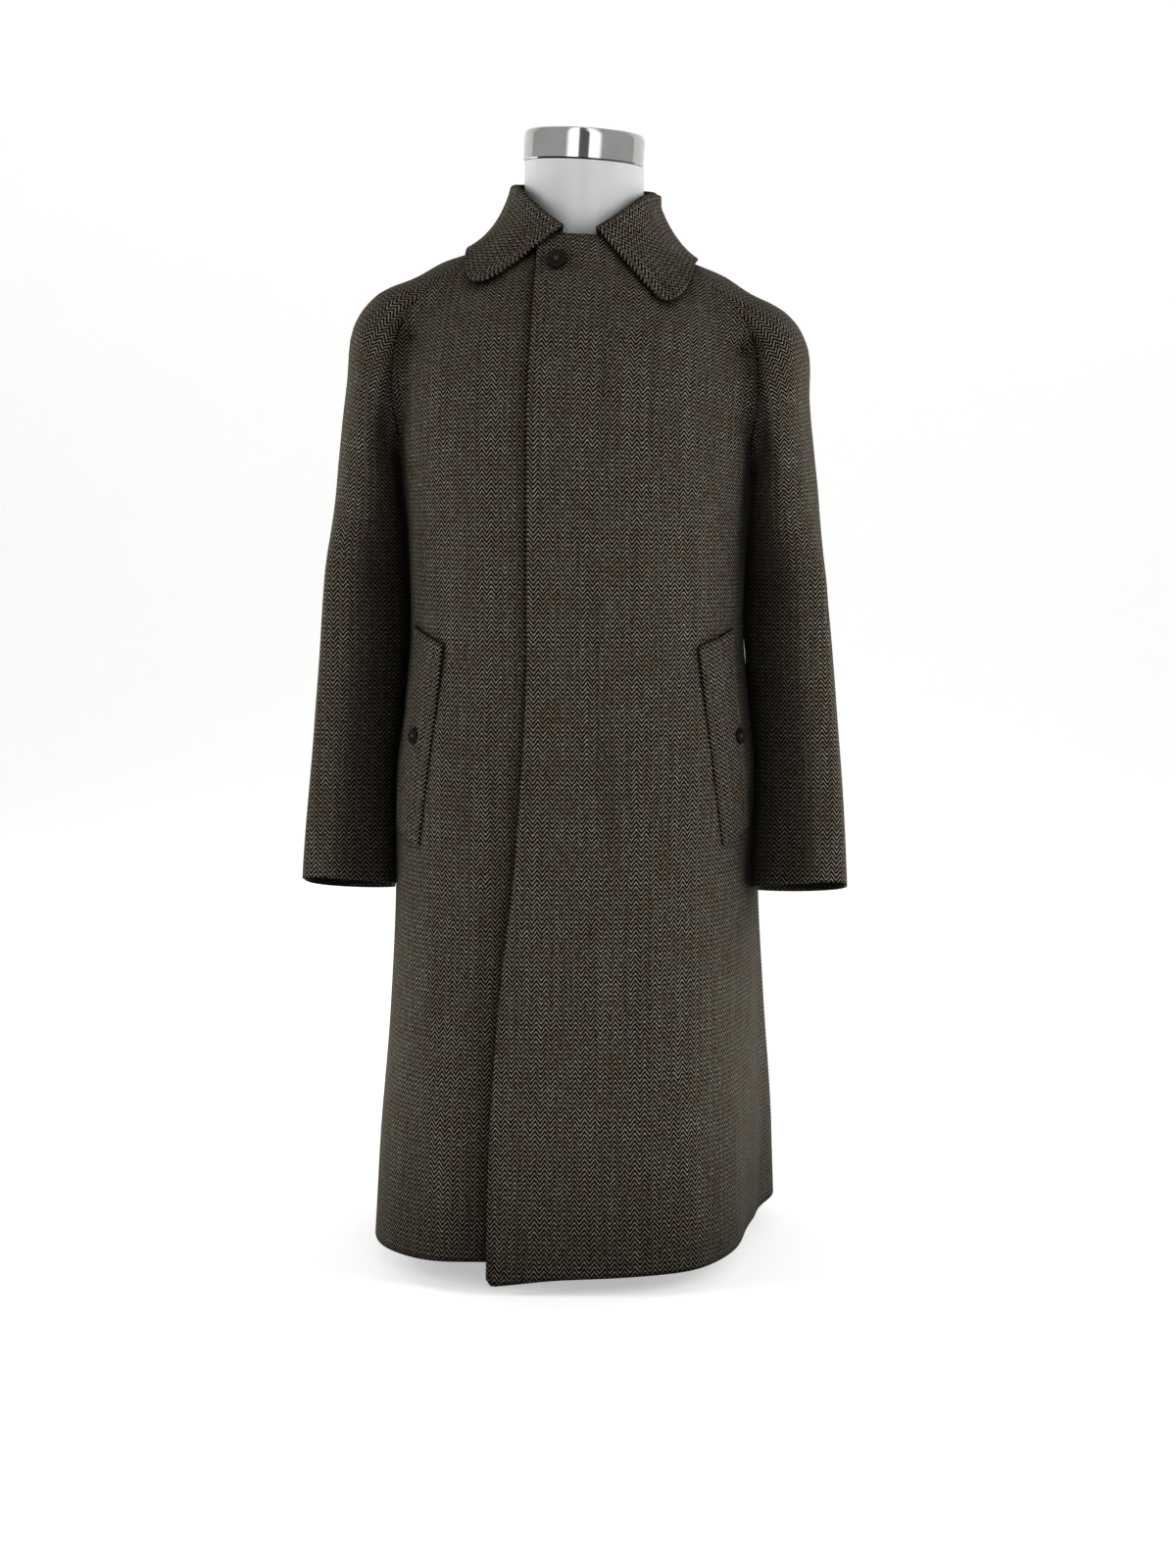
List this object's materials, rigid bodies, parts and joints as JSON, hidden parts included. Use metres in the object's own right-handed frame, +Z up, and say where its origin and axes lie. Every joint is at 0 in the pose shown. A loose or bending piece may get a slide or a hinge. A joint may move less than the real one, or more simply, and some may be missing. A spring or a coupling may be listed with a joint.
{
  "type": "wool overcoat on a limbless dress form",
  "caption": "Knee-length herringbone wool overcoat with raglan sleeves, a broad collar, a fly front and slanted welt pockets, shown buttoned on a limbless form.",
  "frame": {"origin": "on the floor, under the middle of the part", "axes": "+Z up, the coat's front faces -Y, +X is the wearer's left"},
  "size_m": [0.5682, 0.4183, 1.1786],
  "materials": {
    "wool": "brown, black and cream herringbone tweed with coloured flecks",
    "button": "dark brown, sewn through four holes",
    "form": "white, slightly translucent",
    "metal": "polished"
  },
  "bodies": {
    "root": {"front_left": "wool", "front_right": "wool", "back": "wool", "sleeve_front_left": "wool", "sleeve_back_left": "wool", "sleeve_front_right": "wool", "sleeve_back_right": "wool", "collar_leaf": "wool", "collar_stand": "wool", "welt_left": "wool", "welt_right": "wool", "button_neck": "button", "button_pocket_left": "button", "button_pocket_right": "button", "torso": "form", "neck_cap": "metal", "socket": "metal", "pole": "metal", "base": "metal"}
  },
  "joints": []
}
